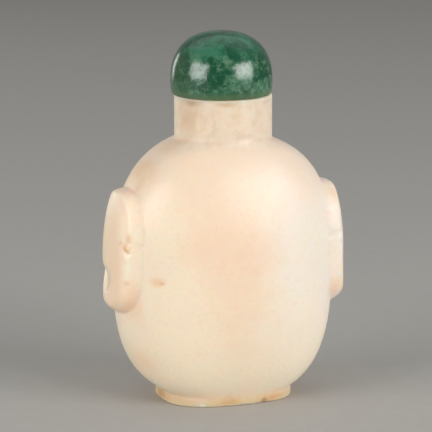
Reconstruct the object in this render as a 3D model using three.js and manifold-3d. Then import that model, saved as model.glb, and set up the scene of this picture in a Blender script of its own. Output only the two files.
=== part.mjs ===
// A small snuff bottle carved from one piece of pale hardstone: a flattened oval body on an oval foot ring,
// a straight round neck, and a worn mock mask-and-ring handle in low relief on each narrow side. A dome of
// green stone rests on the neck and carries a cork plug that fills the mouth.
// Millimetres, +Z up. The origin is on the ground under the neck's axis, and +X points to a narrow side.

import * as THREE from 'three';
import { mergeVertices } from 'three/addons/utils/BufferGeometryUtils.js';
import Module from 'manifold-3d';

// ---- driving dimensions -------------------------------------------------------------------------------

// The body at its widest level. `widthClose` and `depthClose` are how far from that level the outline would
// close, seen from the broad side and from the narrow side, and `power` is how square the section has become
// at the `end` of each half.
const bodyHalfWidth = 19.8;
const bodyHalfDepth = 13.25;
const bodyMiddle = 22.8;
const middlePower = 2.05;
const shoulder = { widthClose: 24.03, depthClose: 26.7, flat: 2.79, round: 2.47, power: 2.6, end: 23.5 };
const belly = { widthClose: 22.62, depthClose: 24.5, flat: 2.44, round: 3.2, power: 2.8, end: 20.6 };

const neckRadius = 8.5;
const neckTop = 53.6;
const mouthRadius = 3.75;

const footHalfWidth = 11.65;
const footHalfDepth = 9.25;
const footRim = 1.8;
const footRecess = 1.0;

const wallThickness = 3.0;
const floorThickness = 2.6;
const ceilingThickness = 3.2;

// The two handles are alike, but cut by hand at slightly different heights.
const reliefHalfWidth = 6.95;
const reliefPower = 3.0;
const leftRelief = { side: -1, bottom: 16.3, top: 38.0, thickness: 1.9, groove: 0.6 };
const rightRelief = { side: 1, bottom: 15.7, top: 37.9, thickness: 2.25, groove: 0.2 };

const stopperRadius = 8.87;
const stopperHeight = 10.95;
const stopperShift = 0.33;
const corkClearance = 0.3;
const corkLength = 4.6;

// ---- shapes of the body -------------------------------------------------------------------------------

// The share of a full size that is left at a distance from the widest level: 1 there, 0 where it closes.
function shareLeft(distance, closing, flat, round) {
  return (1 - Math.min(1, distance / closing) ** flat) ** (1 / round);
}

// The body's horizontal section at a height: half width, half depth, and the power of its rounded oval.
function bodySection(height) {
  const half = height > bodyMiddle ? shoulder : belly;
  const distance = Math.abs(height - bodyMiddle);
  return {
    width: bodyHalfWidth * shareLeft(distance, half.widthClose, half.flat, half.round),
    depth: bodyHalfDepth * shareLeft(distance, half.depthClose, half.flat, half.round),
    power: middlePower + (half.power - middlePower) * (distance / half.end) ** 2,
  };
}

// How far the body reaches along X at a place on its narrow side.
function bodyReach(y, z) {
  const { width, depth, power } = bodySection(z);
  return width * (1 - Math.min(1, Math.abs(y) / depth) ** power) ** (1 / power);
}

// The point of a rounded oval, x^p + y^p = 1 stretched to two half sizes, in the direction of a turn.
function ovalPoint(turn, halfWidth, halfDepth, power) {
  const c = Math.cos(turn);
  const s = Math.sin(turn);
  const size = (Math.abs(c) ** power + Math.abs(s) ** power) ** (-1 / power);
  return new THREE.Vector2(halfWidth * c * size, halfDepth * s * size);
}

// ---- from three.js geometry to solids and back --------------------------------------------------------

const wasm = await Module();
wasm.setup();

function solidOf(geometry) {
  const bare = geometry.clone();
  bare.deleteAttribute('normal');
  bare.deleteAttribute('uv');
  const merged = mergeVertices(bare);
  const vertProperties = new Float32Array(merged.attributes.position.array);
  const triVerts = new Uint32Array(merged.index.array);
  return new wasm.Manifold(new wasm.Mesh({ numProp: 3, vertProperties, triVerts }));
}

function geometryOf(solid) {
  const { vertProperties, triVerts } = solid.getMesh();
  const geometry = new THREE.BufferGeometry();
  geometry.setAttribute('position', new THREE.BufferAttribute(vertProperties, 3));
  geometry.setIndex(new THREE.BufferAttribute(triVerts, 1));
  geometry.computeVertexNormals();
  return geometry;
}

// A round rod standing on Z.
function uprightCylinder(radius, low, high, sides) {
  const rod = new THREE.CylinderGeometry(radius, radius, high - low, sides);
  rod.rotateX(Math.PI / 2);
  rod.translate(0, 0, (low + high) / 2);
  return rod;
}

// A straight-sided slab with a rounded oval outline.
function ovalSlab(halfWidth, halfDepth, low, high, sides) {
  const outline = [];
  for (let i = 0; i < sides; i += 1) {
    outline.push(ovalPoint((2 * Math.PI * i) / sides, halfWidth, halfDepth, belly.power));
  }
  const slab = new THREE.ExtrudeGeometry(new THREE.Shape(outline), { depth: high - low, bevelEnabled: false });
  slab.translate(0, 0, low);
  return slab;
}

// A cylinder whose rings are pushed out to the section that `sectionAt` gives for their height. The rings
// crowd towards both ends, where the outline turns quickest.
function swollenForm(low, high, sectionAt, sides, rings) {
  const form = new THREE.CylinderGeometry(1, 1, 2, sides, rings);
  form.rotateX(Math.PI / 2);
  const at = form.attributes.position;
  for (let i = 0; i < at.count; i += 1) {
    const level = Math.sin((at.getZ(i) * Math.PI) / 2);
    const height = (low + high) / 2 + (level * (high - low)) / 2;
    const { width, depth, power } = sectionAt(height);
    const onRing = Math.hypot(at.getX(i), at.getY(i)) > 0.5;
    const turn = Math.atan2(at.getY(i), at.getX(i));
    const edge = onRing ? ovalPoint(turn, width, depth, power) : new THREE.Vector2(0, 0);
    at.setXYZ(i, edge.x, edge.y, height);
  }
  return form;
}

// ---- the handles --------------------------------------------------------------------------------------

const maskShare = 0.58;
const reliefEdge = 0.12;

// The height where the mask ends and the ring shows: lowest under the chin, and rising towards both sides.
function chinHeight(y, relief) {
  const chinDrop = 6.5;
  const cheek = relief.bottom + maskShare * (relief.top - relief.bottom);
  return cheek - chinDrop * (1 - Math.min(1, Math.abs(y) / reliefHalfWidth) ** 3);
}

// The groove that parts the mask from the ring, wide under the chin and narrow at the cheeks.
function chinGroove(y, z, relief) {
  const halfHeight = 1.9 - (0.8 * Math.abs(y)) / reliefHalfWidth;
  return relief.groove * Math.exp(-(Math.abs((z - chinHeight(y, relief)) / halfHeight) ** 3));
}

// The outline is nicked where the groove runs out at each cheek.
function nickedWidth(z, relief) {
  const nick = 0.05;
  const nickHalfHeight = 0.8;
  const up = (z - chinHeight(reliefHalfWidth, relief)) / nickHalfHeight;
  return 1 - nick * Math.exp(-(up ** 2));
}

// A lens over the narrow side: a sphere whose outer half becomes the relief's face, at an even thickness over
// the body with a rounded edge, and whose inner half is sunk into the body.
function handleRelief(relief) {
  const sunk = 1.2;
  const rim = 0.3;
  const middle = (relief.top + relief.bottom) / 2;
  const halfHeight = (relief.top - relief.bottom) / 2;
  const lens = new THREE.SphereGeometry(1, 44, 22);
  lens.rotateZ(-Math.PI / 2);
  const at = lens.attributes.position;
  for (let i = 0; i < at.count; i += 1) {
    const spread = Math.min(1, Math.hypot(at.getY(i), at.getZ(i)));
    const turn = Math.atan2(at.getZ(i), at.getY(i));
    const edge = ovalPoint(turn, reliefHalfWidth, halfHeight, reliefPower);
    const z = middle + edge.y * spread;
    const y = edge.x * spread * nickedWidth(z, relief);
    const inward = Math.min(1, (1 - spread) / reliefEdge);
    const rise = Math.sqrt(1 - (1 - inward) ** 2);
    const outer = (relief.thickness + rim - chinGroove(y, z, relief)) * rise - rim;
    const inner = -rim - sunk * rise;
    const out = bodyReach(y, z) + (at.getX(i) > 0 ? outer : inner);
    at.setXYZ(i, relief.side * out, relief.side * y, z);
  }
  return lens;
}

// ---- the bottle ---------------------------------------------------------------------------------------

function cavitySection(height) {
  const { width, depth, power } = bodySection(height);
  return { width: width - wallThickness, depth: depth - wallThickness, power };
}

function buildBottle() {
  const bodyLow = 1.0;
  const bodyHigh = 46.7;
  const cavityLow = footRecess + floorThickness;
  const cavityHigh = bodyHigh - ceilingThickness;
  const bodyForm = solidOf(swollenForm(bodyLow, bodyHigh, bodySection, 64, 30));
  const neck = solidOf(uprightCylinder(neckRadius, bodyMiddle + mouthRadius, neckTop, 56));
  const foot = solidOf(ovalSlab(footHalfWidth, footHalfDepth, 0, bodyLow + footRim, 56));
  const leftHandle = solidOf(handleRelief(leftRelief));
  const rightHandle = solidOf(handleRelief(rightRelief));
  const cavity = solidOf(swollenForm(cavityLow, cavityHigh, cavitySection, 36, 14));
  const mouth = solidOf(uprightCylinder(mouthRadius, bodyMiddle, neckTop + mouthRadius, 32));
  const underside = solidOf(ovalSlab(footHalfWidth - footRim, footHalfDepth - footRim, -footRecess, footRecess, 40));
  const carved = bodyForm.add(neck).add(foot).add(leftHandle).add(rightHandle);
  return geometryOf(carved.subtract(cavity).subtract(mouth).subtract(underside));
}

// ---- the stopper and its cork -------------------------------------------------------------------------

// Half of the dome's outline: flat underneath, a tucked-in lower edge, then a full, slightly squared dome.
function buildStopper() {
  const edgeHeight = 2.1;
  const tuck = 0.6;
  const domePower = 2.4;
  const edgeSteps = 4;
  const domeSteps = 16;
  const domeHeight = stopperHeight - edgeHeight;
  const outline = [new THREE.Vector2(0, 0)];
  for (let i = 0; i < edgeSteps; i += 1) {
    const turn = ((i / edgeSteps) * Math.PI) / 2;
    outline.push(new THREE.Vector2(stopperRadius - tuck * (1 - Math.sin(turn)), edgeHeight * (1 - Math.cos(turn))));
  }
  for (let i = 0; i < domeSteps; i += 1) {
    const edge = ovalPoint(((i / domeSteps) * Math.PI) / 2, stopperRadius, domeHeight, domePower);
    outline.push(new THREE.Vector2(edge.x, edgeHeight + edge.y));
  }
  outline.push(new THREE.Vector2(0, stopperHeight));
  const dome = new THREE.LatheGeometry(outline, 48);
  dome.rotateX(Math.PI / 2);
  return dome;
}

function buildCork() {
  return uprightCylinder(mouthRadius - corkClearance, -corkLength, 0, 32);
}

// ---- the finished group -------------------------------------------------------------------------------

function namedMesh(name, geometry, look) {
  const mesh = new THREE.Mesh(geometry, new THREE.MeshStandardMaterial(look));
  mesh.name = name;
  return mesh;
}

const group = new THREE.Group();
group.add(namedMesh('bottle', buildBottle(), { color: 0xf0d8bc, roughness: 0.35, metalness: 0 }));

// The cork is centred in the mouth. The dome was glued on a little to one side of it.
const lid = new THREE.Group();
lid.position.set(0, 0, neckTop);
const stopper = namedMesh('stopper', buildStopper(), { color: 0x2b6f52, roughness: 0.15, metalness: 0 });
stopper.position.set(-stopperShift, 0, 0);
lid.add(stopper);
lid.add(namedMesh('stopper_cork', buildCork(), { color: 0xa67c52, roughness: 0.9, metalness: 0 }));
group.add(lid);

export default group;
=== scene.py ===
import math
import bpy
import numpy as np
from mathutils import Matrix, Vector


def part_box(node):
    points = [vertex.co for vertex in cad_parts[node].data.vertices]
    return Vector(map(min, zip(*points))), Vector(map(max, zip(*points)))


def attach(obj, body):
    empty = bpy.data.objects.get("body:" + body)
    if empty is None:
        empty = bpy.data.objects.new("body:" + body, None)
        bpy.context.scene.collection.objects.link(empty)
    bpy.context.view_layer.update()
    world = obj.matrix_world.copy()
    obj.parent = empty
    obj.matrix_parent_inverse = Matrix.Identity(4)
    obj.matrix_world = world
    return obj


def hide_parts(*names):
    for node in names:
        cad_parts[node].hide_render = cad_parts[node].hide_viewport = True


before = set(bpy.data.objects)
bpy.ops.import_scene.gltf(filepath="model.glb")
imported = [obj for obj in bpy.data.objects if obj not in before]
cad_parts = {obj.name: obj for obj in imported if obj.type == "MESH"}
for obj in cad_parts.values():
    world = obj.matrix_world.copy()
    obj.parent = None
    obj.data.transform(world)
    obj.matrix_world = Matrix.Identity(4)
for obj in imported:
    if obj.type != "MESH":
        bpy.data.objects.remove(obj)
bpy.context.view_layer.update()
print("frame loaded:", ", ".join(sorted(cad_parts)))

mm = 0.001  # every size below is in millimetres
bottleLow, bottleHigh = (np.array(corner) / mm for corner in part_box("bottle"))
stopperLow, stopperHigh = (np.array(corner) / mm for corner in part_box("stopper"))


def gridMesh(name, rings, lowPole, highPole):
    # rings is an array of rings of points: quads join each ring to the next, and a fan of
    # triangles closes each end on its pole point
    ringCount, around, _ = rings.shape
    points = np.concatenate([rings.reshape(-1, 3), [lowPole], [highPole]]) * mm
    here = np.arange(around)
    after = np.roll(here, -1)
    start = (np.arange(ringCount - 1) * around)[:, None]
    quads = np.stack([start + here, start + after, start + around + after, start + around + here], axis=2)
    lowFan = np.stack([after, here, np.full(around, ringCount * around)], axis=1)
    last = (ringCount - 1) * around
    highFan = np.stack([last + here, last + after, np.full(around, ringCount * around + 1)], axis=1)
    corners = np.concatenate([quads.reshape(-1), lowFan.reshape(-1), highFan.reshape(-1)])
    sides = np.concatenate([np.full(quads.size // 4, 4), np.full(2 * around, 3)])
    mesh = bpy.data.meshes.new(name)
    mesh.vertices.add(len(points))
    mesh.vertices.foreach_set("co", points.ravel())
    mesh.loops.add(len(corners))
    mesh.loops.foreach_set("vertex_index", corners)
    mesh.polygons.add(len(sides))
    mesh.polygons.foreach_set("loop_start", np.concatenate([[0], np.cumsum(sides)[:-1]]))
    mesh.polygons.foreach_set("use_smooth", np.ones(len(sides), bool))
    mesh.update(calc_edges=True)
    mesh.validate()
    piece = bpy.data.objects.new(name, mesh)
    bpy.context.scene.collection.objects.link(piece)
    return piece


def ringPoints(turns, radius, height):
    # x = r cos, y = r sin, z = height, for every pair of ring and turn
    radius, height, turns = np.broadcast_arrays(radius, height, turns)
    return np.stack([radius * np.cos(turns), radius * np.sin(turns), height], axis=-1)


def smoothLarger(first, second, blend):
    # the larger of two values, with the corner between them rounded over the width of blend
    overlap = np.maximum(blend - np.abs(first - second), 0)
    return np.maximum(first, second) + overlap ** 2 / (4 * blend)


def smoothStep(value, low, high):
    # 0 below low and 1 above high, with an S-shaped rise 3 t^2 - 2 t^3 between them
    share = np.clip((value - low) / (high - low), 0, 1)
    return share ** 2 * (3 - 2 * share)


def bell(distance):
    # 1 in the middle, falling to nothing as exp(-d^2)
    return np.exp(-distance ** 2)


def steps(count):
    # shares from 0 up to, but without, 1, one for each ring of a strip
    return np.linspace(0, 1, count, endpoint=False)[:, None]


bottle = dict(
    halfWidth=19.8,
    halfDepth=bottleHigh[1],
    middle=22.8,
    middlePower=2.05,
    shoulder=dict(widthClose=24.03, depthClose=26.7, flat=2.79, round=2.47, power=2.6, end=23.5),
    belly=dict(widthClose=22.62, depthClose=24.5, flat=2.44, round=3.2, power=2.8, end=20.6),
    neckRadius=8.5,
    neckTop=bottleHigh[2],
    neckCrease=1.15,
    lip=0.4,
    mouthRadius=3.75,
    footHalfWidth=11.65,
    footHalfDepth=9.25,
    footCrease=0.5,
    footRim=1.8,
    footRecess=1.0,
    footEdge=0.35,
    recessDish=0.15,  # share by which the recess is shallower at its rim
    recessFlare=0.3,
    wall=3.0,
    floor=3.6,
    ceiling=43.5,
    domeHeight=2.0,  # the hollow closes to the mouth over this height
    columns=340,
    crowding=0.3,
    rings=dict(underside=9, recessWall=5, footFlat=4, footRound=5, outside=210, lipOut=6, lipFlat=4,
               lipIn=4, bore=4, hollow=22, floor=5),
    # how much closer the rings lie on the handles and on the foot
    crowd=dict(handles=0.9, handleMiddle=27.2, handleReach=11.8, foot=1.2, footReach=3.2, turn=0.6),
)


def bodySection(height):
    # half width, half depth and power of the rounded oval at each height; both halves of the
    # body follow size * (1 - (distance / close) ^ flat) ^ (1 / round)
    above = height > bottle["middle"]
    distance = np.abs(height - bottle["middle"])
    pick = lambda key: np.where(above, bottle["shoulder"][key], bottle["belly"][key])
    flat, root = pick("flat"), 1 / pick("round")
    width = bottle["halfWidth"] * (1 - np.minimum(distance / pick("widthClose"), 1) ** flat) ** root
    depth = bottle["halfDepth"] * (1 - np.minimum(distance / pick("depthClose"), 1) ** flat) ** root
    power = bottle["middlePower"] + (pick("power") - bottle["middlePower"]) * (distance / pick("end")) ** 2
    return width, depth, power


def ovalRadius(turns, width, depth, power):
    # distance from the axis to the oval |x/w|^p + |y/d|^p = 1 in each direction
    across = np.abs(np.cos(turns)) / np.maximum(width, 1e-3)
    along = np.abs(np.sin(turns)) / np.maximum(depth, 1e-3)
    return (across ** power + along ** power) ** (-1 / power)


def outerRadius(turns, height):
    # the body, the neck above it and the foot below it, joined with small fillets
    body = ovalRadius(turns, *bodySection(height))
    neck = np.where(height > bottle["middle"], bottle["neckRadius"], 0.0)
    foot = ovalRadius(turns, bottle["footHalfWidth"], bottle["footHalfDepth"], bottle["belly"]["power"])
    foot = np.where(height < bottle["middle"] / 2, foot, 0.0)
    radius = smoothLarger(body, neck, bottle["neckCrease"])
    return smoothLarger(radius, foot, bottle["footCrease"])


handles = dict(
    halfWidth=6.95,
    power=3.0,
    maskShare=0.58,
    chinDrop=6.8,
    grooveHalf=1.9,
    grooveFront=0.1,  # the groove is worn to this share towards the front
    wornFrom=-3.5,
    wornTo=1.0,
    blend=(-0.6, 1.4),  # the mask turns into the ring over these heights under the chin
    mask=dict(edge=0.09, arris=3.5),
    ring=dict(edge=0.2, arris=2.3),
    nick=0.04,
    nickHalfHeight=0.8,
    knob=dict(across=6.3, up=-0.2, radius=0.55, rise=0.4, moat=0.25, moatAt=1.7, moatHalf=0.45),
    shoulder=dict(across=6.35, up=-2.4, radius=0.9, rise=0.25),
    left=dict(
        bottom=16.4, top=37.9, thickness=-bottleLow[0] - bottle["halfWidth"], lean=0.0, groove=0.85,
    ),
    right=dict(
        bottom=15.7, top=37.7, thickness=bottleHigh[0] - bottle["halfWidth"], lean=0.008, groove=0.4,
    ),
)


def handleRelief(y, z, relief):
    # thickness over the body: an oval plaque with a steep edge, parted into a flat-edged mask and
    # a rounder ring by a worn groove that hangs in a curve from cheek to cheek; at each cheek a
    # knob with a sunk outline and the ring's own small shoulder
    middle = (relief["top"] + relief["bottom"]) / 2
    halfHeight = (relief["top"] - relief["bottom"]) / 2
    cheek = relief["bottom"] + handles["maskShare"] * 2 * halfHeight
    across = np.minimum(np.abs(y) / handles["halfWidth"], 1)
    chin = cheek - handles["chinDrop"] * (1 - across ** 3)
    isRing = smoothStep(chin - z, *handles["blend"])
    edge = handles["mask"]["edge"] + (handles["ring"]["edge"] - handles["mask"]["edge"]) * isRing
    arris = handles["mask"]["arris"] + (handles["ring"]["arris"] - handles["mask"]["arris"]) * isRing
    width = handles["halfWidth"] * (1 - handles["nick"] * bell((z - cheek) / handles["nickHalfHeight"]))
    outward = np.abs(y / width) ** handles["power"] + np.abs((z - middle) / halfHeight) ** handles["power"]
    inside = np.clip((1 - outward ** (1 / handles["power"])) / edge, 0, 1)
    rise = 1 - (1 - inside) ** arris
    unworn = smoothStep(y, handles["wornFrom"], handles["wornTo"])
    worn = handles["grooveFront"] + (1 - handles["grooveFront"]) * unworn
    groove = relief["groove"] * worn * np.exp(-np.abs((z - chin) / handles["grooveHalf"]) ** 3)
    face = relief["thickness"] + relief["lean"] * (middle - z) - groove
    knob, shoulder = handles["knob"], handles["shoulder"]
    away = np.hypot(np.abs(y) - knob["across"], z - cheek - knob["up"]) / knob["radius"]
    boss = knob["rise"] * bell(away) - knob["moat"] * bell((away - knob["moatAt"]) / knob["moatHalf"])
    away = np.hypot(np.abs(y) - shoulder["across"], z - cheek - shoulder["up"]) / shoulder["radius"]
    hump = shoulder["rise"] * bell(away)
    return face * rise + (boss + hump) * smoothStep(inside, 0, 0.5)


def evenHeights(start, stop, count, outline, crowd):
    # heights whose steps along the outline are even, or finer where crowd is over 1
    fine = np.linspace(start, stop, 6000)
    length = np.hypot(np.diff(fine), np.diff(outline(fine)))
    travelled = np.concatenate([[0], np.cumsum(length * crowd((fine[1:] + fine[:-1]) / 2))])
    return np.interp(np.linspace(0, travelled[-1], count), travelled, fine)


wear = dict(
    # place on the outer surface, radius of the dent and its depth
    pits=[
        ((-14.5, -9.2, 22.7), 0.45, 0.12),
        ((-6.0, -12.6, 17.2), 0.3, 0.08),
        ((0.2, -11.1, 41.2), 0.3, 0.08),
        ((-20.9, -0.8, 21.9), 0.6, 0.2),
        ((-20.9, 0.4, 20.3), 0.45, 0.25),
        ((-19.4, -6.9, 30.4), 0.35, 0.15),
        ((-20.2, -5.0, 29.4), 0.35, 0.1),
    ],
    chip=dict(place=(4.5, -9.2, 0.0), halfWidth=1.0, halfHeight=0.75, depth=0.5, ragged=0.35, waves=3),
)


def wornAway(points):
    # how deep the skin is dented at each point: round pits, and one chip out of the foot's edge
    dent = np.zeros(points.shape[:-1])
    for place, radius, depth in wear["pits"]:
        dent = np.maximum(dent, depth * bell(np.linalg.norm(points - np.array(place), axis=-1) / radius))
    chip = wear["chip"]
    away = points - np.array(chip["place"])
    front = points[..., 1] < 0
    across = away[..., 0] / chip["halfWidth"] + chip["ragged"] * np.sin(chip["waves"] * away[..., 0])
    return dent + chip["depth"] * front * bell(across) * bell(away[..., 2] / chip["halfHeight"])


def buildBottle():
    # one closed skin, ring by ring: up from the middle of the recessed underside, over the foot,
    # body and neck, over the lip, down the mouth and round the hollow to its floor
    even = np.linspace(0, 2 * math.pi, bottle["columns"], endpoint=False)
    turns = (even - bottle["crowding"] * np.sin(2 * even))[None, :]  # finer towards the handles
    power = bottle["belly"]["power"]
    foot = ovalRadius(turns, bottle["footHalfWidth"], bottle["footHalfDepth"], power)
    rim, edge, recess = bottle["footRim"], bottle["footEdge"], bottle["footRecess"]
    inner = ovalRadius(turns, bottle["footHalfWidth"] - rim, bottle["footHalfDepth"] - rim, power)
    lip, top, mouth, neck = bottle["lip"], bottle["neckTop"], bottle["mouthRadius"], bottle["neckRadius"]
    count, dish, flare = bottle["rings"], bottle["recessDish"], bottle["recessFlare"]
    grow = steps(count["underside"])[1:]
    underside = ringPoints(turns, inner * grow, recess * (1 - dish * grow ** 2))
    drop = steps(count["recessWall"])
    recessWall = ringPoints(turns, inner + flare * drop ** 2, (1 - dish) * recess * (1 - drop) ** 0.8)
    flat = foot - edge - inner - flare
    footFlat = ringPoints(turns, inner + flare + flat * steps(count["footFlat"]), 0)
    turned = steps(count["footRound"]) * math.pi / 2
    footRound = ringPoints(turns, foot - edge * (1 - np.sin(turned)), edge * (1 - np.cos(turned)))
    near = bottle["crowd"]
    onHandles = lambda z: np.abs(z - near["handleMiddle"]) < near["handleReach"]
    crowd = lambda z: 1 + near["handles"] * onHandles(z) + near["foot"] * (z < near["footReach"])
    outline = lambda z: outerRadius(near["turn"], z)
    heights = evenHeights(edge, top - lip, count["outside"], outline, crowd)[:, None]
    outside = ringPoints(turns, outerRadius(turns, heights), heights)
    x, y, z = outside[..., 0], outside[..., 1], outside[..., 2]
    left, right = (handleRelief(y, z, handles[side]) for side in ("left", "right"))
    outside[..., 0] = x + np.where(x > 0, right, -left)
    outside = np.concatenate([footRound, outside])
    outside[..., :2] *= 1 - (wornAway(outside) / np.hypot(outside[..., 0], outside[..., 1]))[..., None]
    turned = steps(count["lipOut"]) * math.pi / 2
    lipOut = ringPoints(turns, neck - lip * (1 - np.cos(turned)), top - lip * (1 - np.sin(turned)))
    lipFlat = ringPoints(turns, neck - lip - (neck - 2 * lip - mouth) * steps(count["lipFlat"]), top)
    turned = steps(count["lipIn"]) * math.pi / 2
    lipIn = ringPoints(turns, mouth + lip * (1 - np.sin(turned)), top - lip * (1 - np.cos(turned)))
    bore = ringPoints(turns, mouth, top - lip - (top - lip - bottle["ceiling"]) * steps(count["bore"]))
    heights = np.linspace(bottle["ceiling"], bottle["floor"], count["hollow"])[:, None]
    width, depth, power = bodySection(heights)
    hollow = ovalRadius(turns, width - bottle["wall"], depth - bottle["wall"], power)
    opened = np.minimum(1, (bottle["ceiling"] - heights) / bottle["domeHeight"])
    cavity = ringPoints(turns, mouth + (hollow - mouth) * np.sqrt(opened), heights)
    cavityFloor = ringPoints(turns, hollow[-1:] * (1 - steps(count["floor"])[1:]), bottle["floor"])
    rings = [underside, recessWall, footFlat, outside, lipOut, lipFlat, lipIn, bore, cavity, cavityFloor]
    return gridMesh("bottle_skin", np.concatenate(rings), (0, 0, recess), (0, 0, bottle["floor"]))


stopper = dict(
    radius=(stopperHigh[0] - stopperLow[0]) / 2,
    shift=(stopperHigh[0] + stopperLow[0]) / 2,
    bottom=stopperLow[2],
    height=stopperHigh[2] - stopperLow[2],
    edgeHeight=2.1,
    tuck=0.6,
    power=2.4,
    columns=160,
    rings=dict(flat=11, tuck=14, dome=70),
)


def buildStopper():
    # a surface of revolution: flat underneath, a tucked-in lower edge and then the dome, both as
    # quarters of |r / R| ^ p + |h / H| ^ p = 1
    turns = np.linspace(0, 2 * math.pi, stopper["columns"], endpoint=False)[None, :]
    radius, edge, tuck, power = (stopper[key] for key in ("radius", "edgeHeight", "tuck", "power"))
    quarter = lambda angle: (np.cos(angle) ** power + np.sin(angle) ** power) ** (-1 / power)
    outwards = lambda angle: np.cos(angle) * quarter(angle)
    upwards = lambda angle: np.sin(angle) * quarter(angle)
    count, rise = stopper["rings"], stopper["height"] - edge
    flat = steps(count["flat"])[1:] * (radius - tuck)
    down = (1 - steps(count["tuck"])) * math.pi / 2
    up = steps(count["dome"]) * math.pi / 2
    rings = np.concatenate([
        ringPoints(turns, flat, 0),
        ringPoints(turns, radius - tuck + tuck * outwards(down), edge * (1 - upwards(down))),
        ringPoints(turns, radius * outwards(up), edge + rise * upwards(up)),
    ])
    foot = np.array([stopper["shift"], 0, stopper["bottom"]])
    return gridMesh("stopper_dome", rings + foot, foot, foot + (0, 0, stopper["height"]))


bottleSkin = buildBottle()
stopperDome = buildStopper()
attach(bottleSkin, "root")
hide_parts("bottle")
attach(stopperDome, "root")
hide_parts("stopper")
print("pieces built:", len(bottleSkin.data.polygons), "and", len(stopperDome.data.polygons), "faces")


class Wire:
    # one output socket; sums and products of wires and numbers add Math nodes
    def __init__(self, finish, socket):
        self.finish = finish
        self.socket = socket

    def maths(self, operation, first, second):
        return self.finish.node("ShaderNodeMath", dict(operation=operation), {0: first, 1: second})

    def __add__(self, other):
        return self.maths("ADD", self, other)

    def __radd__(self, other):
        return self.maths("ADD", other, self)

    def __sub__(self, other):
        return self.maths("SUBTRACT", self, other)

    def __rsub__(self, other):
        return self.maths("SUBTRACT", other, self)

    def __mul__(self, other):
        return self.maths("MULTIPLY", self, other)

    def __rmul__(self, other):
        return self.maths("MULTIPLY", other, self)


class Finish:
    # a material whose nodes are added by one method
    def __init__(self, name, constants):
        self.material = bpy.data.materials.new(name)
        self.material.use_nodes = True
        self.tree = self.material.node_tree
        self.shader = self.tree.nodes["Principled BSDF"]
        for socket, value in constants.items():
            self.shader.inputs[socket].default_value = value
        place = self.node("ShaderNodeTexCoord", {}, {}, "Object")
        self.place = self.vector("MULTIPLY", place, (1 / mm,) * 3)  # in millimetres
        split = lambda axis: self.node("ShaderNodeSeparateXYZ", {}, {0: self.place}, axis)
        self.x = split("X")
        self.z = split("Z")

    def node(self, kind, settings, inputs, output=0):
        # settings are set first, then each input takes a number, a colour or another wire
        made = self.tree.nodes.new(kind)
        for key, value in settings.items():
            setattr(made, key, value)
        for key, value in inputs.items():
            if isinstance(value, Wire):
                self.tree.links.new(value.socket, made.inputs[key])
            else:
                made.inputs[key].default_value = value
        return Wire(self, made.outputs[output])

    def vector(self, operation, first, second, output=0):
        return self.node("ShaderNodeVectorMath", dict(operation=operation), {0: first, 1: second}, output)

    def noise(self, scale, detail=3.0, rough=0.5, stretch=(1, 1, 1), warp=0.0):
        # cloud noise; scale is in clouds per millimetre, before the stretch along each axis
        place = self.vector("MULTIPLY", self.place, stretch)
        inputs = {"Vector": place, "Scale": scale, "Detail": detail, "Roughness": rough, "Distortion": warp}
        return self.node("ShaderNodeTexNoise", {}, inputs, "Fac")

    def between(self, value, low, high, lowTo=0.0, highTo=1.0):
        # an S-shaped step of value from low to high
        inputs = {"Value": value, "From Min": low, "From Max": high, "To Min": lowTo, "To Max": highTo}
        return self.node("ShaderNodeMapRange", dict(interpolation_type="SMOOTHSTEP"), inputs)

    def spot(self, centre, halves, ragged=None):
        # 1 at a point, falling smoothly to 0 on the oval with these half sizes; ragged is a noise
        # wire that pushes the edge in and out
        away = self.vector("SUBTRACT", self.place, centre)
        away = self.vector("DIVIDE", away, halves)
        length = self.vector("LENGTH", away, (0, 0, 0), "Value")
        return self.between(length if ragged is None else length + (ragged - 0.5), 1.0, 0.0)

    def mix(self, share, first, second):
        # colours crossed by a share from 0 to 1
        inputs = {0: share, 6: first, 7: second}
        return self.node("ShaderNodeMix", dict(data_type="RGBA", clamp_factor=True), inputs, 2)

    def zone(self, colour, along, plan):
        # a colour that sets in between two values of a wire
        start, full, share, laid = plan
        return self.mix(self.between(along, start, full) * share, colour, laid)

    def feed(self, socket, wire):
        self.tree.links.new(wire.socket, self.shader.inputs[socket])

    def bump(self, height, distance):
        # distance is in millimetres
        inputs = {"Height": height, "Distance": distance * mm, "Strength": 1.0}
        self.feed("Normal", self.node("ShaderNodeBump", {}, inputs))

    def dress(self, piece):
        piece.data.materials.clear()
        piece.data.materials.append(self.material)


def tone(red, green, blue):
    # a colour in steps of 255, turned to linear light
    share = np.array([red, green, blue]) / 255
    linear = np.where(share < 0.04045, share / 12.92, ((share + 0.055) / 1.055) ** 2.4)
    return (*linear.tolist(), 1.0)


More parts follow.
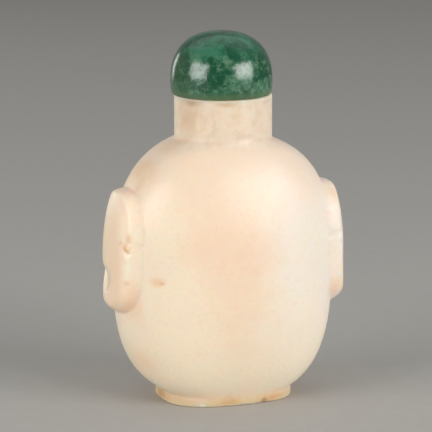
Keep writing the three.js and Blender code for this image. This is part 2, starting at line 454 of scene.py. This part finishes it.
stainsAndPaintedLight = dict(
    # the middle of each mark in the pale stone, its half sizes, its strength and its colour; most are
    # stains, while some are painted shade and painted highlights, as marked
    body=[
        ((-4.5, -13.0, 29.5), (11.0, 8.0, 9.5), 0.42, tone(240, 203, 176)),  # blush on the front
        ((-1.5, -13.0, 20.0), (8.5, 8.0, 15.0), 0.38, tone(240, 208, 180)),  # its lower part
        ((3.5, -13.0, 27.5), (6.0, 6.0, 5.0), 0.25, tone(240, 204, 180)),
        ((-16.5, -0.5, 41.5), (5.0, 8.0, 8.0), 0.6, tone(222, 184, 138)),  # left shoulder, partly a warm stain and partly painted shade
        ((-11.5, -1.5, 45.5), (4.5, 6.0, 3.0), 0.4, tone(226, 190, 146)),
        ((-18.5, -5.0, 19.0), (3.0, 5.0, 6.0), 0.4, tone(228, 186, 136)),  # left flank, partly a warm stain and partly painted shade
        ((-15.2, -9.0, 23.0), (2.4, 2.4, 1.3), 0.5, tone(230, 186, 124)),  # ring round a pit
        ((-14.5, -9.2, 22.7), (0.7, 0.7, 0.5), 0.35, tone(190, 150, 104)),
        ((-16.5, -4.0, 8.5), (5.0, 6.0, 4.0), 0.3, tone(230, 188, 138)),  # low on the left
        ((-7.6, -3.8, 50.5), (4.5, 5.5, 5.0), 0.45, tone(206, 166, 122)),  # neck, left
        ((-7.2, -4.4, 52.9), (4.0, 4.0, 1.2), 0.7, tone(176, 128, 82)),  # under the lip
        ((-2.5, -8.1, 53.0), (3.0, 3.0, 0.8), 0.5, tone(196, 150, 100)),
        ((5.5, -6.5, 53.0), (4.0, 4.0, 0.6), 0.35, tone(206, 162, 114)),
        ((-6.5, -5.5, 49.4), (0.9, 0.9, 3.2), 0.28, tone(250, 238, 216)),  # pale veins, partly a painted highlight band down the left of the neck
        ((-4.8, -7.0, 48.8), (0.7, 0.7, 3.0), 0.2, tone(250, 238, 216)),
        ((-8.4, -1.5, 46.0), (2.5, 3.0, 0.9), 0.4, tone(214, 172, 124)),  # painted shade in the crease under the neck
        ((-4.1, -7.5, 46.2), (3.0, 3.0, 0.6), 0.3, tone(226, 190, 146)),
        ((-19.8, -5.9, 28.6), (1.5, 1.5, 1.3), 0.7, tone(214, 156, 88)),  # knob of the left handle
        ((-19.6, -6.3, 30.4), (1.3, 1.1, 1.6), 0.45, tone(206, 150, 92)),
        ((-20.6, -4.8, 29.4), (1.5, 0.9, 0.8), 0.4, tone(220, 170, 110)),
        # painted highlight on the ring's shoulder below the knob
        ((-19.8, -6.0, 25.2), (1.4, 1.4, 2.6), 0.6, tone(252, 240, 220)),
        ((-19.8, -5.8, 22.5), (1.2, 0.9, 0.8), 0.45, tone(226, 168, 134)),
        ((-21.5, 0.2, 21.0), (3.0, 1.6, 1.6), 0.5, tone(200, 150, 96)),
        ((19.0, -6.0, 36.0), (2.5, 3.0, 3.0), 0.4, tone(226, 184, 128)),  # right handle
        ((19.0, -6.0, 18.5), (2.5, 3.0, 3.0), 0.4, tone(226, 184, 128)),
    ],
    foot=[
        ((-11.6, 0.0, 1.2), (3.0, 5.0, 2.0), 0.8, tone(192, 146, 90)),
        ((-7.2, -8.3, 1.4), (3.2, 2.6, 1.5), 0.55, tone(234, 208, 186)),
        ((-6.8, -8.4, 0.4), (0.9, 0.9, 0.4), 0.7, tone(252, 242, 224)),
        ((-2.0, -9.2, 0.7), (3.0, 2.0, 0.9), 0.55, tone(206, 154, 92)),
        ((6.7, -8.5, 0.8), (3.0, 2.0, 0.9), 0.5, tone(216, 158, 100)),
        ((4.5, -9.0, 0.3), (1.2, 1.2, 0.8), 0.8, tone(188, 126, 72)),  # in the chip
        ((1.5, -9.2, 1.6), (3.0, 2.0, 0.9), 0.4, tone(240, 220, 190)),
    ],
)


pale = dict(
    warm=(tone(247, 224, 199), tone(251, 232, 210)),
    cool=(tone(250, 230, 214), tone(253, 237, 224)),
    coolFrom=2.0,
    coolTo=13.0,
    # heights between which each zone sets in, its strength and its colour
    # painted light: the body is made lighter towards the bottom, where less lamp light reaches
    belly=(24.0, 4.0, 0.75, tone(255, 229, 204)),
    # painted shade: the shoulders are made darker, to tone down the light that falls on them from above
    shoulder=(31.0, 43.0, 0.6, tone(228, 208, 186)),
    neck=(43.5, 47.0, 0.7, tone(232, 217, 196)),
    # painted highlight: a pale line along the rounded lip of the neck
    lip=(53.1, 53.4, 0.5, tone(246, 230, 200)),
    footOchre=(3.4, 1.8, 0.8, tone(222, 188, 142)),
    footLine=(0.55, 0.2, 0.3, tone(246, 224, 190)),
    handles=(19.9, 21.0, 0.45, tone(222, 196, 164)),  # from the axis outwards
    neckPatches=(0.3, tone(212, 180, 144)),
    grain=(0.16, tone(230, 192, 156)),
)


def paleStone():
    # warm on the left and cooler on the right, with painted light low on the body and painted shade on the
    # shoulders, darker at the neck and handles, with the stains (some of them painted shade and highlights)
    # and a fine grain laid over, a painted highlight along the lip, and ochre round the foot
    constants = {
        "IOR": 1.54,
        "Subsurface Weight": 1.0,
        "Subsurface Radius": (1.0, 0.62, 0.4),
        "Subsurface Scale": 2.5 * mm,
    }
    stone = Finish("pale stone", constants)
    ragged = stone.noise(0.22, 4, 0.6, warp=0.5)
    fine = stone.noise(1.1, 4, 0.65)
    grain = stone.noise(1.7, 2, 0.5, warp=0.8)
    clouds = stone.noise(0.12, 4, 0.55, warp=0.4)
    warm, cool = (stone.mix(clouds, *pale[side]) for side in ("warm", "cool"))
    side = stone.between(stone.x + ragged * 6.0, pale["coolFrom"], pale["coolTo"])
    colour = stone.mix(side, warm, cool)
    # painted light on the lower body, then painted shade on the shoulders
    colour = stone.zone(colour, stone.z, pale["belly"])
    colour = stone.zone(colour, stone.z, pale["shoulder"])
    colour = stone.zone(colour, stone.z, pale["neck"])
    outwards = stone.node("ShaderNodeMath", dict(operation="ABSOLUTE"), {0: stone.x})
    colour = stone.zone(colour, outwards, pale["handles"])
    patches = stone.between(stone.noise(0.5, 4, 0.6), 0.45, 0.65)
    onNeck = stone.between(stone.z, *pale["neck"][:2])
    share, patchTone = pale["neckPatches"]
    colour = stone.mix(onNeck * patches * share, colour, patchTone)
    # stains, with some painted shade and painted highlights among them
    for centre, halves, share, stainOrPaintedLight in stainsAndPaintedLight["body"]:
        colour = stone.mix(stone.spot(centre, halves, ragged) * share, colour, stainOrPaintedLight)
    share, grainTone = pale["grain"]
    colour = stone.mix(stone.between(grain, 0.55, 0.68) * share, colour, grainTone)
    # painted highlight along the lip
    colour = stone.zone(colour, stone.z, pale["lip"])
    colour = stone.zone(colour, stone.z + ragged * 1.6, pale["footOchre"])
    for centre, halves, share, stainOrPaintedLight in stainsAndPaintedLight["foot"]:
        colour = stone.mix(stone.spot(centre, halves, fine) * share, colour, stainOrPaintedLight)
    colour = stone.zone(colour, stone.z, pale["footLine"])
    stone.feed("Base Color", colour)
    stone.feed("Roughness", fine * 0.14 + 0.33)
    stone.bump(stone.noise(0.6, 4) + fine * 0.25 + grain * 0.15, 0.05)
    return stone


green = dict(
    deep=tone(8, 74, 47),
    middle=tone(42, 108, 79),
    band=tone(2, 70, 42),
    wisp=tone(104, 136, 108),
    olive=tone(52, 84, 56),
    rim=tone(84, 110, 72),
    fleck=tone(110, 146, 120),
)


def greenStone():
    # clouded green, with a deep band above the middle, pale wisps below it and an olive lower rim
    constants = {
        "IOR": 1.6,
        "Subsurface Weight": 0.2,
        "Subsurface Radius": (0.4, 1.0, 0.7),
        "Subsurface Scale": 0.6 * mm,
    }
    stone = Finish("green stone", constants)
    clouds = stone.noise(0.22, 3, 0.5, warp=0.3)
    wisps = stone.noise(0.75, 6, 0.72)
    flecks = stone.noise(2.2, 3, 0.6)
    colour = stone.mix(stone.between(clouds + wisps * 0.5, 0.62, 0.88), green["deep"], green["middle"])
    level = stone.z + clouds * 4.0
    band = stone.between(level, 63.6, 61.0) * stone.between(level, 59.2, 60.8)
    colour = stone.mix(band * 0.7, colour, green["band"])
    low = stone.between(stone.z, 62.5, 59.5)
    colour = stone.mix(stone.between(wisps + clouds * 0.3, 0.6, 0.8) * low * 0.8, colour, green["wisp"])
    olive = stone.between(stone.x + wisps * 2.0, -5.6, -7.6)
    colour = stone.mix(olive * 0.6, colour, green["olive"])
    rim = stone.between(stone.z + wisps * 0.8, 55.6, 54.4)
    colour = stone.mix(rim * 0.7, colour, green["rim"])
    colour = stone.mix(stone.between(flecks, 0.6, 0.74) * 0.35, colour, green["fleck"])
    stone.feed("Base Color", colour)
    stone.feed("Roughness", wisps * 0.2 + 0.06)
    stone.bump(stone.noise(1.5, 4, 0.6) + flecks * 0.35, 0.03)
    return stone


def corkBark():
    # brown bark, darker and lighter in one fine grain
    cork = Finish("cork", {})
    grain = cork.noise(1.2, 5, 0.7)
    cork.feed("Base Color", cork.mix(grain, tone(120, 84, 52), tone(186, 146, 100)))
    cork.feed("Roughness", grain * 0.2 + 0.75)
    cork.bump(grain, 0.12)
    return cork


paleStone().dress(bottleSkin)
greenStone().dress(stopperDome)
corkBark().dress(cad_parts["stopper_cork"])
print("stone and cork finished")

view = dict(
    turn=-20.0,
    tilt=11.97,
    distance=455.4,
    lens=216.3,
    aim=26.3,
    rightwards=-1.235,
    upwards=5.503,
)


def towards(turn, tilt):
    # the direction at a turn from the camera's, counted to its right, and a tilt above the
    # horizon, both in degrees
    a, e = math.radians(view["turn"] + turn), math.radians(tilt)
    return Vector((math.sin(a) * math.cos(e), -math.cos(a) * math.cos(e), math.sin(e)))


def placeCamera():
    # the eye stands back along the view line; its target is a little above and left of the middle
    # of the bottle, so that the bottle stands low in the frame
    back = towards(0, view["tilt"])
    right = Vector((math.cos(math.radians(view["turn"])), math.sin(math.radians(view["turn"])), 0))
    up = back.cross(right)
    aim = Vector((0, 0, view["aim"]))
    target = aim + right * view["rightwards"] + up * view["upwards"]
    eye = aim + back * view["distance"]
    camera = bpy.data.objects.new("camera", bpy.data.cameras.new("camera"))
    bpy.context.scene.collection.objects.link(camera)
    camera.location = eye * mm
    camera.rotation_euler = (eye - target).to_track_quat("Z", "Y").to_euler()
    camera.data.lens = view["lens"]
    camera.data.sensor_width = 36.0
    camera.data.clip_start = 0.01
    camera.data.clip_end = 50.0
    bpy.context.scene.camera = camera


ground = dict(radius=4000.0, thickness=1.0)


def buildFloor():
    # a flat disc of growing rings, closed by a fan in the middle and one underneath
    turns = np.linspace(0, 2 * math.pi, 96, endpoint=False)[None, :]
    rings = ringPoints(turns, np.geomspace(ground["radius"], 10, 24)[:, None], 0)
    paper = gridMesh("floor", rings, (0, 0, -ground["thickness"]), (0, 0, 0))
    finish = Finish("floor paper", {"Roughness": 0.9, "Specular IOR Level": 0.2})
    speckle = finish.noise(0.3, 4)
    finish.feed("Base Color", finish.mix(speckle, tone(172, 170, 165), tone(178, 176, 171)))
    finish.dress(paper)


lights = dict(
    left=dict(turn=-54, tilt=17, away=620, width=430, height=320, power=2.55),
    right=dict(turn=55, tilt=18.5, away=620, width=460, height=290, power=3.0),
    top=dict(turn=180, tilt=68, away=700, width=1150, height=660, power=1.1),
    rim=dict(turn=-140, tilt=6, away=620, width=100, height=200, power=0.2),
)


def placeLight(name, plan):
    lamp = bpy.data.lights.new(name, "AREA")
    lamp.shape = "RECTANGLE"
    lamp.size = plan["width"] * mm
    lamp.size_y = plan["height"] * mm
    lamp.energy = plan["power"]
    stand = bpy.data.objects.new(name, lamp)
    bpy.context.scene.collection.objects.link(stand)
    back = towards(plan["turn"], plan["tilt"])
    stand.location = (Vector((0, 0, 30)) + back * plan["away"]) * mm
    stand.rotation_euler = back.to_track_quat("Z", "Y").to_euler()


room = dict(colour=tone(200, 200, 200), strength=0.42)


def lightRoom():
    world = bpy.data.worlds.new("room")
    bpy.context.scene.world = world
    world.use_nodes = True
    world.node_tree.nodes["Background"].inputs["Color"].default_value = room["colour"]
    world.node_tree.nodes["Background"].inputs["Strength"].default_value = room["strength"]
    bpy.context.scene.view_settings.view_transform = "Standard"


placeCamera()
buildFloor()
for name, plan in lights.items():
    placeLight(name, plan)
lightRoom()
print("camera, floor and lights placed")
